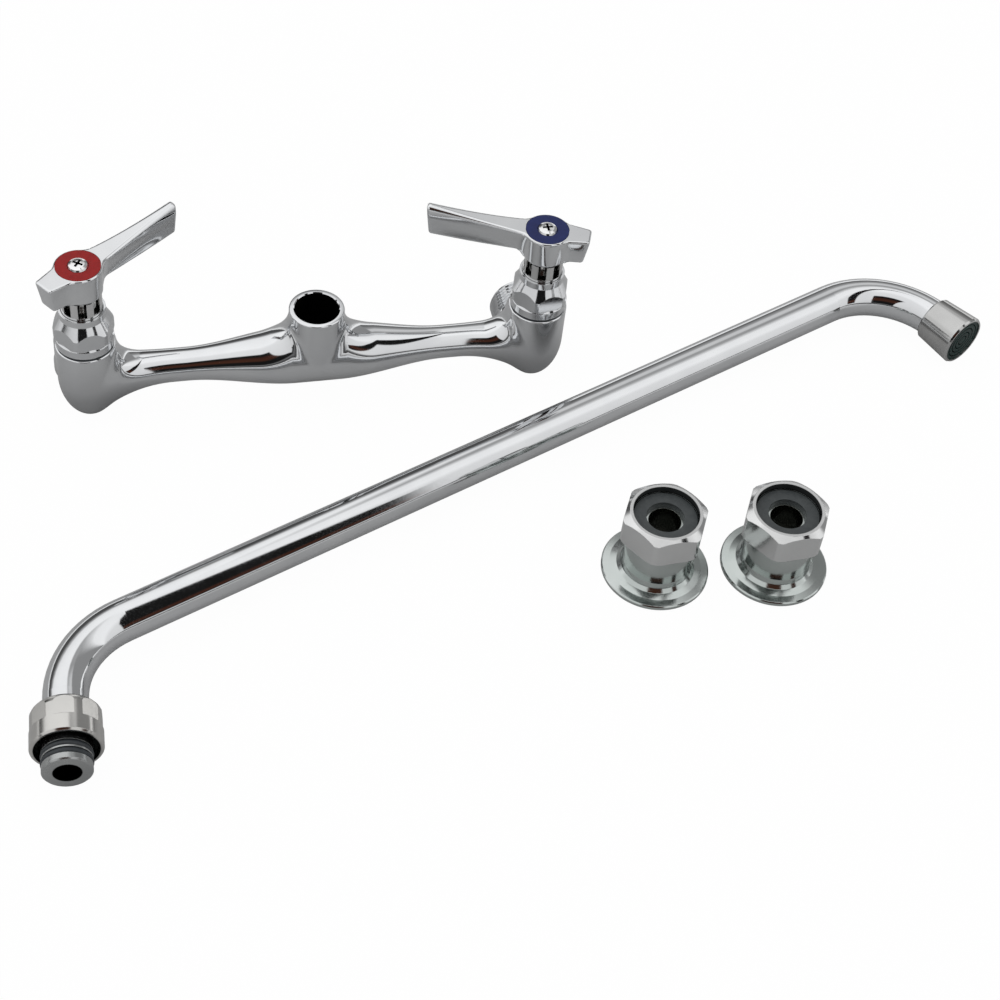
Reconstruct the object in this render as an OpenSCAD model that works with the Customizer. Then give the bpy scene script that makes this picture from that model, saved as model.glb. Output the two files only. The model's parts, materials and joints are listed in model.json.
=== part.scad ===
// Wall-mount kitchen faucet, laid out as a kit: the valve body with its two lever handles, the loose
// swing spout lying on the same surface, and two loose wall couplings standing on their flanges.
// Millimetres. Origin: centre of the mouth of the spout socket, +Z up out of it, +X along the body to
// the cold side, +Y back towards the wall.

/* [Valve body] */
// Distance between the two valve barrels
valve_spacing = 203.2; // [180:0.2:230]
// Outside diameter of a valve barrel
barrel_d = 26.5; // [25:0.5:31]
// Height of the barrel rim above the arm axis
barrel_rise = 19.2; // [17:0.2:24]
// Depth of the rounded chin below the arm axis
chin_drop = 22.7; // [18:0.1:26]
// Height of the cylindrical stretch of a barrel below the arm axis
chin_start = 0.5; // [0:0.5:3]
// Diameter of the arms at their necks
arm_neck_d = 15.2; // [13:0.2:18]
// Diameter of the arms where they meet in the middle
arm_mid_d = 26; // [23:0.5:30]
// Bore of the water way in the arms
arm_bore_d = 8.6; // [6:0.2:9.4]
// Height of the spout socket's mouth above the arm axis
socket_rise = 27.5; // [24:0.5:36]
// Outside diameter of the spout socket
boss_d = 24.8; // [23:0.1:28]
// Bore of the spout socket
socket_d = 20; // [18:0.1:21]
// Depth of the spout socket
socket_depth = 20; // [18:0.5:21]
// Outside diameter of an inlet, over its thread
inlet_d = 27.6; // [24:0.1:28]
// Diameter of the plain collar in front of an inlet's thread
collar_d = 28.8; // [28:0.1:32]
// Reach of an inlet behind the barrel axis
inlet_reach = 32; // [28:0.5:42]
// Bore of an inlet
inlet_bore_d = 16; // [12:0.5:18]

/* [Valves] */
// Width across the flats of a bonnet nut
bonnet_af = 24; // [23:0.5:28]
// Height of the bonnet's round flange
bonnet_flange_h = 4.4; // [2:0.2:6]
// Height of the bonnet's hexagon
bonnet_hex_h = 7.4; // [6:0.2:14]
// Height of the cone above the hexagon
bonnet_cone_h = 4.2; // [3:0.2:8]
// Height of the round collar on top of the bonnet
bonnet_collar_h = 3.2; // [2:0.2:6]
// Thickness of the bonnet washer
bonnet_washer_t = 1.2; // [0.8:0.1:2]
// Diameter of the cartridge's neck
neck_d = 18; // [16.5:0.1:18.4]
// Height of the cartridge's neck above the bonnet
neck_rise = 8.8; // [4:0.2:12]
// Depth of the bonnet's thread in the barrel
bonnet_thread_h = 7.3; // [6:0.1:9]
// Diameter of the spindle
spindle_d = 10; // [9:0.2:11]
// Thickness of a ceramic disc
disc_t = 2.8; // [2:0.1:3.2]
// Turn of a handle from shut to full flow, degrees
quarter_turn = 90; // [80:1:95]

/* [Handles] */
// Diameter of the handle's hub at its top
hub_top_d = 21; // [20.6:0.1:24]
// Diameter of the hub at its foot
hub_foot_d = 19.2; // [17:0.1:20]
// Height of the hub
hub_h = 14.5; // [13:0.1:18]
// Length of the lever from the spindle axis
lever_length = 54; // [45:1:70]
// Rise of the lever's tip above the hub
lever_rise = 4; // [2:0.5:9]
// Height of the lever at its tip
lever_tip_h = 15; // [10:0.5:18]
// Width of the lever's top where it leaves the hub
lever_root_w = 13; // [11:0.5:16]
// Width of the lever's top at its tip
lever_tip_w = 4.6; // [3:0.2:8]
// Length of the tail fin from the spindle axis
fin_length = 19.5; // [15:0.5:24]
// Height of the tail fin
fin_h = 13; // [9:0.5:13.5]
// Diameter of the colour ring
index_d = 19.2; // [17:0.1:19.4]
// Thickness of the colour ring
index_t = 1.2; // [0.8:0.1:2]
// Diameter of the handle screw's head
screw_head_d = 8.8; // [7:0.1:10]
// Heading of the hot lever as it lies, degrees from +X
hot_heading = 36.7; // [0:0.1:90]
// Heading of the cold lever as it lies, degrees from +X
cold_heading = 159.7; // [90:0.1:180]

/* [Swing spout] */
// Outside diameter of the tube
tube_d = 18; // [16:0.1:19]
// Wall of the tube
tube_wall = 1.2; // [0.8:0.1:1.6]
// Length of the straight run between the corners of the two bends
run_length = 442.4; // [250:0.1:500]
// Distance from the end of the shank to the corner of the first bend
leg_length = 60.2; // [57:0.1:80]
// Distance from the corner of the second bend to the face of the outlet
drop_length = 53.2; // [52:0.1:70]
// Angle of the bend above the nut, degrees
base_bend = 64.5; // [50:0.5:80]
// Angle of the bend before the outlet, degrees
outlet_bend = 84.2; // [70:0.1:86]
// Radius of the first bend, on the tube's axis
base_bend_r = 41; // [38:0.5:46]
// Radius of the second bend, on the tube's axis
outlet_bend_r = 40; // [26:0.5:40]
// Diameter of the shank's rings, which enter the spout socket
shank_d = 19.8; // [18:0.1:20.8]
// Bore at the end of the shank
shank_bore_d = 11; // [9:0.5:13]
// Thickness of an O-ring
oring_t = 2.5; // [2:0.1:3]
// Outside diameter of the spout nut
nut_d = 28.6; // [28:0.1:34]
// Width across the eight flats of the spout nut
nut_af = 27.5; // [27:0.1:31]
// Bore of the spout nut's thread
nut_bore_d = 25.3; // [24:0.1:26]
// Height of the plain band of the spout nut
nut_band_h = 7.6; // [5:0.2:10]
// Height of the flats of the spout nut
nut_flats_h = 7.4; // [6:0.2:10]
// Height of the spout nut's rounded shoulder
nut_shoulder_h = 3; // [2:0.2:7]
// Outside diameter of the aerator housing at its face
housing_d = 25; // [23:0.1:27]
// Outside diameter of the aerator housing where it meets the tube
housing_neck_d = 21.8; // [21:0.1:24]
// Length of the aerator housing
housing_length = 20; // [16:0.5:22]

/* [Wall couplings] */
// Diameter of the wall flange
flange_d = 46.8; // [42:0.2:56]
// Thickness of the flange at its edge
flange_t = 2.4; // [2:0.1:4]
// Diameter of the coupling's barrel
coupling_barrel_d = 30; // [27:0.1:31]
// Height of the barrel's shoulder above the wall side
coupling_barrel_h = 23; // [20:0.5:30]
// Width across the flats of the union nut
union_af = 33.4; // [33:0.1:36]
// Height of the union nut
union_h = 14.4; // [12:0.2:18]
// Bore of the union nut's thread
union_bore_d = 28.2; // [26:0.1:29]
// Free travel of the union nut along its tailpiece
union_slack = 3.2; // [0:0.2:4]
// Bore of the coupling's water way
coupling_bore_d = 14; // [10:0.5:15]
// Bore of the socket for the wall nipple
nipple_d = 21; // [19:0.1:22]
// Depth of the socket for the wall nipple
nipple_depth = 13; // [10:0.5:15]
// Thickness of the rubber union washer
union_washer_t = 2.4; // [2:0.1:3]

/* [Layout] */
// Place of the shank's end across the body
spout_x = -125.6; // [-200:0.1:-60]
// Place of the shank's end in front of the body
spout_y = -203.9; // [-260:0.1:-180]
// Heading of the spout's leg, from its shank to its bend, degrees
spout_heading = 87.1; // [60:0.1:110]
// Place of the hot coupling across the body
hot_coupling_x = 129.1; // [120:0.1:150]
// Place of the hot coupling in front of the body
hot_coupling_y = -127.2; // [-180:0.1:-110]
// Place of the cold coupling across the body
cold_coupling_x = 181.8; // [178:0.1:240]
// Place of the cold coupling in front of the body
cold_coupling_y = -132.6; // [-180:0.1:-110]

/* [Hidden] */
$fn = 96;
fit = 0.05;            // radial play of a turned fit
play = 0.15;           // radial play of a thread or a loose seat
air = 0.3;             // gap between round pieces that turn freely
rest = 0.1;            // gap between flat faces that turn on one another
eps = 0.01;            // overshoot of a cut

arm_z = -socket_rise;
rim_z = arm_z + barrel_rise;
floor_z = arm_z - chin_drop;
inlet_z = floor_z + collar_d / 2;
half_span = valve_spacing / 2;

// arms: loft of ellipses along X
arm_end = half_span - 3.6;
arm_flare_start = arm_end * 0.653;
arm_swell_start = 10;
arm_swell_end = 58;
arm_steps = 32;
arm_sides = 32;
arm_fillet = 11;                         // reach of the arms' upper fillets in front of the barrels
boss_fillet_r = 14;
boss_fillet_h = 5.2;
boss_skirt_h = 9;                        // ends above the arms' fillets, so a sleeve fits over it

// valve stack, from the seat up
bonnet_z = rim_z + bonnet_washer_t;
bonnet_hex_z = bonnet_z + bonnet_flange_h;
bonnet_cone_z = bonnet_hex_z + bonnet_hex_h;
bonnet_collar_z = bonnet_cone_z + bonnet_cone_h;
bonnet_top_z = bonnet_collar_z + bonnet_collar_h;
bonnet_corner_d = bonnet_af * 1.11;
bonnet_collar_d = neck_d + 2.4;
bonnet_bore_d = neck_d + 2 * play;
bonnet_thread_d = bonnet_bore_d + 2.9;
chamber_top_d = bonnet_thread_d + 2 * play;
bonnet_end_z = bonnet_z - bonnet_thread_h;
cartridge_flange_t = 2.5;
step_z = bonnet_end_z - cartridge_flange_t;
chamber_d = 18.8;
cage_d = 16.4;
cavity_d = 14.4;
seat_z = arm_z - arm_bore_d / 2 - 0.2;
seal_t = 2.1;
cage_gap = 1.2;
fixed_z = seat_z + seal_t;
moving_z = fixed_z + disc_t;
foot_z = moving_z + disc_t;
foot_h = 3;
foot_w = 4.8;
tongue_w = 2.8;
tongue_l = 7.8;
bonnet_turn = 12;
union_turn = 3;
cavity_top_z = foot_z + foot_h + air;
neck_top_z = bonnet_top_z + neck_rise;
crown_z = neck_top_z - 7.6;
notch_w = 3.8;                           // notches round the neck's top
lug_h = 2.4;
crown_bore_d = 13.6;
lug_angle = 16;
lug_play = 2;
clip_t = 1;
spindle_groove_r = spindle_d / 2 - 1.2;
spindle_oring_z = rim_z + 2;
port_d = 8;
feed_d = 7.2;
feed_z = seat_z - 1 - feed_d / 2;

// handle stack
hub_z = neck_top_z + 0.5;
top_z = hub_z + hub_h;
index_z = top_z - index_t;
broach_w = 6.6;
broach_top_z = hub_z + hub_h - 4.8;
screw_shank_d = 4;
screw_head_h = 2.6;
blade_sides = 6;
blade_steps = 14;

// spout, drawn flat: the shank's end at the origin and the leg along +Y
bore_r = tube_d / 2 - tube_wall;
base_tangent = base_bend_r * tan(base_bend / 2);
outlet_tangent = outlet_bend_r * tan(outlet_bend / 2);
run_heading = 90 - base_bend;
drop_heading = run_heading - outlet_bend;
shank_socket = 12;                       // depth to which the tube enters the shank
shank_length = 28;
end_ring_h = 3;
ring_gap = 0.8;
groove_w = oring_t + 0.1;
groove_d = shank_d - 2 * oring_t + 0.5;
nut_rim = 2 * groove_w + ring_gap + end_ring_h + 1.4;
nut_length = nut_band_h + nut_flats_h + nut_shoulder_h;
thrust_t = 1.5;
shank_flange_t = 3;
shank_flange_z = socket_depth - 0.3;     // the flange rests on the socket's mouth when fitted
thrust_z = shank_flange_z + shank_flange_t;
nut_floor = thrust_z + thrust_t + rest;
nut_hole_d = tube_d + 1.5 + 2 * air;
thread_start = 9;                        // depth to which the tube enters the housing
screen_t = 6;
screen_inset = 0.6;
rim_wall = 1.4;
washer_t = 1.5;

// how the spout lies: on its nut and on the edge of its aerator housing
housing_edge = 1;
nut_contact = [0, nut_rim + nut_band_h / 2];
corner_a = [0, leg_length];
corner_b = corner_a + run_length * [cos(run_heading), sin(run_heading)];
outlet_face = corner_b + drop_length * [cos(drop_heading), sin(drop_heading)];
housing_contact = outlet_face - housing_edge * [cos(drop_heading), sin(drop_heading)];
lie = housing_contact - nut_contact;
lie_heading = atan2(lie[1], lie[0]);
lie_tilt = asin((nut_d - housing_d) / 2 / norm(lie));

// couplings, drawn standing on the flange
nut_lip_h = 2.7;
coupling_neck_d = 20.8;
union_z = coupling_barrel_h + rest;
wire_d = 1.5;
wire_groove_d = coupling_neck_d - wire_d - 0.1;
wire_z = union_z + nut_lip_h + rest + union_slack + wire_d / 2;
coupling_neck_h = wire_z + wire_d / 2 + 1.2;
union_washer_z = coupling_neck_h;
union_washer_d = union_bore_d - 2 * air - 0.4;
union_corner_d = union_af * 1.12;

// ---- helpers ----

function ramp(t) = let (s = min(max(t, 0), 1)) s * s * (3 - 2 * s);
function mix(a, b, t) = a + (b - a) * t;

// a ring of rectangular section between two heights
module ring(outer_d, inner_d, z0, z1) {
    translate([0, 0, z0])
        linear_extrude(z1 - z0)
            difference() {
                circle(d = outer_d);
                circle(d = inner_d);
            }
}

module post(d, z0, z1) {
    translate([0, 0, z0]) cylinder(d = d, h = z1 - z0);
}

module hexagon(af, z0, z1) {
    translate([0, 0, z0]) cylinder(d = af / cos(30), h = z1 - z0, $fn = 6);
}

// closed skin over a list of rings of points, each ring with the same number of points
module loft(rings) {
    n = len(rings[0]);
    m = len(rings);
    skin = [
        for (i = [0 : m - 2], k = [0 : n - 1])
            let (a = i * n + k, b = i * n + (k + 1) % n)
                each [[a, a + n, b], [b, a + n, b + n]]
    ];
    first = [for (k = [0 : n - 1]) k];
    last = [for (k = [0 : n - 1]) (m - 1) * n + (n - k) % n];
    polyhedron(points = [for (r = rings) each r], faces = concat([first], skin, [last]));
}

// ---- valve body ----

// how far a section at distance x from the middle has flared out towards a barrel, 0 to 1
function flare(x) = pow(max(0, (x - arm_flare_start) / (arm_end - arm_flare_start)), 2.1);
// how far it has swollen towards the middle, 0 to 1
function swell(x) = 1 - ramp((x - arm_swell_start) / (arm_swell_end - arm_swell_start));
function boss_fillet(x) = boss_fillet_h * pow(max(0, 1 - max(0, x - boss_d / 2) / boss_fillet_r), 2);

function arm_r(x) = mix(arm_neck_d, arm_mid_d, swell(x)) / 2;
function arm_side(x) = mix(arm_r(x), barrel_d / 2 - 0.6, flare(x));
// rise of the upper fillet in front of a barrel's wall, a quarter of an ellipse, 0 to 1
function wall_fillet(x) =
    let (s = min(max((x - half_span + barrel_d / 2 + arm_fillet) / (arm_fillet + 0.4), 0), 1))
        1 - sqrt(1 - s * s);
function arm_up(x) = mix(arm_r(x) + boss_fillet(x), barrel_rise - 0.5, wall_fillet(x));
function arm_down(x) = mix(arm_r(x), chin_drop - 0.9, flare(x));

function arm_ring(x) = [
    for (k = [0 : arm_sides - 1])
        let (
            a = 360 * k / arm_sides,
            up = sin(a) > 0 ? arm_up(abs(x)) : arm_down(abs(x))
        )
            [x, arm_side(abs(x)) * cos(a), arm_z + up * sin(a)]
];

// sections lie closer together where the arms flare
function arm_station(i) = sign(i) * arm_end * pow(abs(i) / arm_steps, 0.75);

module arms() {
    loft([for (i = [-arm_steps : arm_steps]) arm_ring(arm_station(i))]);
}

// a barrel with its half-ellipsoid chin
module barrel() {
    r = barrel_d / 2;
    chin_z = arm_z - chin_start;
    chin_h = chin_drop - chin_start;
    lip = 0.8;
    rotate_extrude()
        polygon(concat(
            [[0, rim_z], [r - lip, rim_z], [r, rim_z - lip]],
            [for (a = [0 : 6 : 84]) [r * cos(a), chin_z - chin_h * sin(a)]],
            [[0, floor_z]]
        ));
}

module boss() {
    r = boss_d / 2;
    foot_r = arm_mid_d / 2;
    foot_step = 6;
    lip = 0.7;
    rotate_extrude()
        polygon([
            [0, 0], [r - lip, 0], [r, -lip], [r, -boss_skirt_h],
            [mix(r, foot_r, 0.3), -boss_skirt_h - foot_step * 0.6],
            [foot_r - 0.2, -boss_skirt_h - foot_step * 1.2],
            [foot_r - 0.2, arm_z], [0, arm_z]
        ]);
}

// an inlet with a plain collar before its threaded end
module inlet() {
    r = inlet_d / 2;
    collar_r = collar_d / 2;
    lip = 0.8;
    thread_start = barrel_d / 2 + 5;
    translate([0, 0, inlet_z])
        rotate([-90, 0, 0])
            rotate_extrude()
                polygon([
                    [0, 0], [r, 0], [r, barrel_d / 2 - 2], [collar_r, barrel_d / 2],
                    [collar_r, thread_start - lip], [collar_r - lip, thread_start], [r, thread_start],
                    [r, inlet_reach - 1], [r - 1, inlet_reach], [0, inlet_reach]
                ]);
}

module body_water_ways() {
    // cartridge chambers, seats and feeds
    for (side = [-1, 1])
        translate([side * half_span, 0, 0]) {
            post(chamber_top_d, step_z, rim_z + eps);
            post(chamber_d, seat_z, step_z + eps);
            post(port_d, feed_z, seat_z + eps);
            translate([0, 0, feed_z])
                rotate([-90, 0, 0]) cylinder(d = feed_d, h = inlet_reach - 10);
            translate([0, inlet_reach - 16, inlet_z])
                rotate([-90, 0, 0]) cylinder(d = inlet_bore_d, h = 16 + eps);
            // way from the chamber into the arm
            translate([0, 0, arm_z])
                rotate([0, -side * 90, 0]) cylinder(d = arm_bore_d, h = half_span - socket_d / 4);
        }
    // spout socket and the well below it
    post(socket_d, -socket_depth, eps);
    post(socket_d - 4, arm_z - 2, -socket_depth + eps);
}

module valve_body() {
    color("silver")
        difference() {
            union() {
                arms();
                boss();
                for (side = [-1, 1])
                    translate([side * half_span, 0, 0]) {
                        barrel();
                        inlet();
                    }
            }
            body_water_ways();
        }
}

// ---- one valve, on its own axis ----

module bonnet_nut() {
    lip = 0.8;
    r = bonnet_corner_d / 2;
    flange_r = barrel_d / 2 - 0.5;
    color("silver")
        difference() {
            union() {
                intersection() {
                    hexagon(bonnet_af, bonnet_hex_z - 1, bonnet_collar_z + eps);
                    rotate_extrude()
                        polygon([
                            [0, bonnet_z], [r - lip, bonnet_z], [r - lip, bonnet_hex_z],
                            [r, bonnet_hex_z + lip], [r, bonnet_cone_z - 1.5],
                            [bonnet_collar_d / 2, bonnet_collar_z], [0, bonnet_collar_z]
                        ]);
                }
                rotate_extrude()
                    polygon([
                        [0, bonnet_z], [flange_r, bonnet_z], [flange_r, bonnet_hex_z - lip],
                        [flange_r - lip, bonnet_hex_z], [0, bonnet_hex_z]
                    ]);
                post(bonnet_collar_d, bonnet_collar_z - 1, bonnet_top_z);
                post(bonnet_thread_d, bonnet_end_z, bonnet_z + 1);
            }
            post(bonnet_bore_d, bonnet_end_z - eps, bonnet_top_z + eps);
        }
}

module bonnet_washer() {
    color("dimgray") ring(barrel_d - 1.9, chamber_top_d, rim_z, bonnet_z);
}

// the stop window in the crown is swept by the spindle's lug; notches for a key stand round the rest of
// the crown; both are given by the angle of the first
module cartridge(window_from, notch_from) {
    window = quarter_turn + lug_angle + 2 * lug_play;
    color("goldenrod")
        difference() {
            union() {
                post(cage_d, seat_z + cage_gap, step_z + eps);
                post(chamber_top_d - 2 * play, step_z, bonnet_end_z);
                post(neck_d, bonnet_end_z - eps, neck_top_z);
            }
            post(cavity_d, seat_z, cavity_top_z);
            post(spindle_d + 2 * fit, seat_z, neck_top_z);
            post(crown_bore_d, crown_z, neck_top_z + eps);
            // windows that let the water out over the discs
            for (a = [0, 90])
                rotate([0, 0, a])
                    translate([-cage_d, -3, foot_z + 0.4]) cube([2 * cage_d, 6, foot_h - 0.6]);
            // stop window
            rotate([0, 0, window_from])
                translate([0, 0, crown_z])
                    rotate_extrude(angle = window)
                        translate([1, 0]) square([neck_d / 2, neck_top_z - crown_z + eps]);
            for (k = [0 : 3])
                rotate([0, 0, notch_from + 45 * k])
                    translate([crown_bore_d / 2 - 1, -notch_w / 2, crown_z])
                        cube([neck_d / 2, notch_w, neck_top_z - crown_z + eps]);
        }
}

// the lug under the lever meets the ends of the stop window
module spindle() {
    lug_z = crown_z + clip_t + 0.6;
    color("darkgoldenrod")
        difference() {
            union() {
                // foot across the moving disc, with the tongue that drives it
                intersection() {
                    post(cavity_d - 2 * air, foot_z, foot_z + foot_h);
                    translate([-cavity_d / 2, -foot_w / 2, foot_z]) cube([cavity_d, foot_w, foot_h]);
                }
                translate([-tongue_l / 2, -tongue_w / 2, foot_z - 1])
                    cube([tongue_l, tongue_w, 1 + eps]);
                post(spindle_d, foot_z + foot_h - eps, neck_top_z - 0.6);
                translate([-broach_w / 2, -broach_w / 2, lug_z])
                    cube([broach_w, broach_w, broach_top_z - lug_z]);
                rotate([0, 0, -lug_angle / 2])
                    translate([0, 0, lug_z])
                        rotate_extrude(angle = lug_angle)
                            translate([1, 0]) square([neck_d / 2 - 1.4, lug_h]);
            }
            ring(spindle_d + 2, 2 * spindle_groove_r, spindle_oring_z - 0.7, spindle_oring_z + 0.7);
            ring(spindle_d + 2, spindle_d - 2, crown_z + rest, crown_z + rest + clip_t + 0.1);
            post(screw_shank_d + 2 * fit, hub_z + 1, broach_top_z + eps);
        }
}

module spindle_oring() {
    section_r = 0.6;
    color("black")
        translate([0, 0, spindle_oring_z])
            rotate_extrude() translate([spindle_groove_r + section_r + fit / 2, 0]) circle(r = section_r);
}

module spindle_clip() {
    color("gray")
        translate([0, 0, crown_z + rest])
            linear_extrude(clip_t)
                difference() {
                    circle(d = crown_bore_d - 2 * air);
                    circle(d = spindle_d - 2 + 2 * fit);
                    translate([0, -1.5]) square([crown_bore_d, 3]);
                }
}

// a ceramic disc with two opposite ports
module disc(z0) {
    translate([0, 0, z0])
        difference() {
            cylinder(d = cavity_d - 2 * air, h = disc_t);
            for (a = [50, 230])
                rotate([0, 0, a])
                    translate([0, 0, -eps])
                        rotate_extrude(angle = 80)
                            translate([2.4, 0]) square([3, disc_t + 2 * eps]);
        }
}

module moving_disc() {
    color("whitesmoke")
        difference() {
            disc(moving_z);
            translate([-tongue_l / 2 - 0.1, -tongue_w / 2 - 0.1, foot_z - 1.05])
                cube([tongue_l + 0.2, tongue_w + 0.2, 2]);
        }
}

module fixed_disc() {
    color("whitesmoke") rotate([0, 0, 90]) disc(fixed_z);
}

module seat_seal() {
    color("black") ring(cavity_d - 2 * air, port_d, seat_z, fixed_z);
}

// ---- handle, with its lever along +X ----

// section of a blade at distance s from the axis: flat top, scooped sides
function blade_ring(s, top_w, foot_w, scoop, z_top, z_foot) = concat(
    [[s, 0, z_top]],
    [
        for (k = [0 : blade_sides])
            let (u = k / blade_sides, w = mix(top_w, foot_w, u) / 2 - scoop * 4 * u * (1 - u))
                [s, -w, mix(z_top, z_foot, u)]
    ],
    [
        for (k = [blade_sides : -1 : 0])
            let (u = k / blade_sides, w = mix(top_w, foot_w, u) / 2 - scoop * 4 * u * (1 - u))
                [s, w, mix(z_top, z_foot, u)]
    ]
);

function lever_ring(t) =
    let (
        s = mix(hub_top_d * 0.3, lever_length, t),
        top_w = mix(lever_root_w, lever_tip_w, pow(t, 0.7)),
        foot_w = mix(6.5, 5.4, t),
        undercut = 1.8 * pow(t, 6),
        z_top = top_z + lever_rise * pow(t, 1.7),
        depth = mix(11.5, lever_tip_h, pow(t, 1.2))
    )
        [
            for (p = blade_ring(s, top_w, foot_w, 0.9 * sin(180 * t), z_top, z_top - depth))
                [p[0] - undercut * (z_top - p[2]) / depth, p[1], p[2]]
        ];

function fin_ring(t) =
    let (
        s = mix(hub_top_d * 0.3, fin_length, t),
        back = 2 * t,
        z_foot = top_z - fin_h
    )
        [
            for (p = blade_ring(s, mix(14, 9.4, t), mix(11, 7.5, t), 0.5 * sin(180 * t), top_z, z_foot))
                [-(p[0] - back * (top_z - p[2]) / fin_h), -p[1], p[2]]
        ];

module handle() {
    color("silver")
        difference() {
            union() {
                translate([0, 0, hub_z]) cylinder(d1 = hub_foot_d, d2 = hub_top_d, h = hub_h);
                loft([for (i = [0 : blade_steps]) lever_ring(i / blade_steps)]);
                loft([for (i = [0 : 4]) fin_ring(i / 4)]);
            }
            // recess for the colour ring, hole for the screw, square for the spindle
            post(index_d + 2 * play, index_z, top_z + 1);
            post(screw_shank_d + 2 * play, hub_z, index_z + eps);
            translate([-broach_w / 2 - fit, -broach_w / 2 - fit, hub_z - eps])
                cube([broach_w + 2 * fit, broach_w + 2 * fit, broach_top_z - hub_z + 0.4]);
        }
}

module index_ring(shade) {
    color(shade) ring(index_d, screw_head_d + 2 * play, index_z, top_z);
}

module handle_screw() {
    r = screw_head_d / 2;
    color("gainsboro")
        difference() {
            union() {
                translate([0, 0, index_z])
                    rotate_extrude()
                        polygon([
                            [0, 0], [r, 0], [r, screw_head_h * 0.4], [r * 0.9, screw_head_h * 0.75],
                            [r * 0.66, screw_head_h * 0.93], [r * 0.35, screw_head_h], [0, screw_head_h]
                        ]);
                post(screw_shank_d, hub_z + 1.5, index_z + eps);
            }
            // cross recess
            for (a = [0, 90])
                rotate([0, 0, a + 20])
                    translate([-2.3, -0.55, index_z + screw_head_h - 1.6]) cube([4.6, 1.1, 2]);
        }
}

// ---- swing spout, drawn flat ----

// puts the spout down on the surface, on its nut and its aerator housing
module lay_spout() {
    translate([spout_x, spout_y, 0])
        rotate([0, 0, spout_heading - 90])
            translate([nut_contact[0], nut_contact[1], floor_z + nut_d / 2])
                rotate([0, 0, lie_heading])
                    rotate([0, lie_tilt, 0])
                        rotate([0, 0, -lie_heading])
                            translate([-nut_contact[0], -nut_contact[1], 0])
                                children();
}

// turns what is drawn along +Z so that it lies along the leg, from the shank's end
module along_leg() {
    rotate([-90, 0, 0]) children();
}

// the same for the outlet: +Z out of the face, the face at the origin
module at_outlet() {
    translate([outlet_face[0], outlet_face[1], 0])
        rotate([0, 0, drop_heading])
            rotate([0, 90, 0]) children();
}

// a straight length along +Y, and what follows from its end
module straight(r, length) {
    translate([0, -2 * eps, 0]) rotate([-90, 0, 0]) cylinder(r = r, h = length + 4 * eps, $fn = 60);
    translate([0, length, 0]) children();
}

// a bend to the right that starts along +Y, and what follows from its end
module elbow(r, radius, angle) {
    translate([radius, 0, 0]) {
        mirror([1, 0, 0])
            rotate_extrude(angle = angle, $fn = 80) translate([radius, 0]) circle(r = r + eps, $fn = 60);
        rotate([0, 0, -angle]) translate([-radius, 0, 0]) children();
    }
}

// the tube's centre line as a solid of radius r, between two distances from its outer corners
module spout_line(r, from, to) {
    translate([0, from, 0])
        straight(r, leg_length - base_tangent - from)
            elbow(r, base_bend_r, base_bend)
                straight(r, run_length - base_tangent - outlet_tangent)
                    elbow(r, outlet_bend_r, outlet_bend)
                        straight(r, to - outlet_tangent);
}

module spout_tube() {
    leg_start = shank_length - shank_socket;
    drop_end = drop_length - housing_length + thread_start;
    color("silver")
        lay_spout()
            difference() {
                spout_line(tube_d / 2, leg_start, drop_end);
                spout_line(bore_r, leg_start - 1, drop_end + 1);
            }
}

module spout_shank() {
    r = shank_d / 2;
    second = end_ring_h + groove_w + ring_gap;
    lip = 0.6;
    color("silver")
        lay_spout()
            along_leg()
                difference() {
                    union() {
                        rotate_extrude()
                            polygon([
                                [0, 0], [r - lip, 0], [r, lip], [r, end_ring_h], [groove_d / 2, end_ring_h],
                                [groove_d / 2, end_ring_h + groove_w], [r, end_ring_h + groove_w],
                                [r, second], [groove_d / 2, second], [groove_d / 2, second + groove_w],
                                [r, second + groove_w], [r, shank_flange_z], [0, shank_flange_z]
                            ]);
                        post(nut_bore_d - 2 * air, shank_flange_z - eps, thrust_z);
                        post(tube_d + 1.5, thrust_z - eps, shank_length);
                    }
                    post(shank_bore_d, -eps, shank_length);
                    post(tube_d + 2 * fit, shank_length - shank_socket, shank_length + eps);
                }
}

module spout_orings() {
    color("black")
        lay_spout()
            along_leg()
                for (z = [end_ring_h + groove_w / 2, end_ring_h + 1.5 * groove_w + ring_gap])
                    translate([0, 0, z])
                        rotate_extrude()
                            translate([groove_d / 2 + oring_t / 2 + fit, 0]) circle(d = oring_t);
}

module spout_thrust_ring() {
    color("ivory")
        lay_spout()
            along_leg() ring(nut_bore_d - 2 * air, tube_d + 1.5 + 2 * fit, thrust_z, thrust_z + thrust_t);
}

module spout_nut() {
    r = nut_d / 2;
    flats_z = nut_rim + nut_band_h;
    shoulder_z = flats_z + nut_flats_h;
    end_z = nut_rim + nut_length;
    lip = 0.8;
    top_r = nut_hole_d / 2 + 1;
    color("silver")
        lay_spout()
            along_leg()
                difference() {
                    intersection() {
                        rotate_extrude()
                            polygon(concat(
                                [[0, nut_rim], [r - lip, nut_rim], [r, nut_rim + lip], [r, shoulder_z - 1]],
                                [
                                    for (a = [0 : 18 : 90])
                                        [
                                            top_r + (r - top_r) * cos(a),
                                            shoulder_z - 1 + (nut_shoulder_h + 1) * sin(a)
                                        ]
                                ],
                                [[0, end_z]]
                            ));
                        union() {
                            post(nut_d + 2, nut_rim - 1, flats_z);
                            translate([0, 0, flats_z - eps])
                                rotate([0, 0, 22.5])
                                    cylinder(d = nut_af / cos(22.5), h = end_z - flats_z + 1, $fn = 8);
                        }
                    }
                    post(nut_bore_d, nut_rim - eps, nut_floor);
                    post(nut_hole_d, nut_rim, end_z + 1);
                }
}

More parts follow.
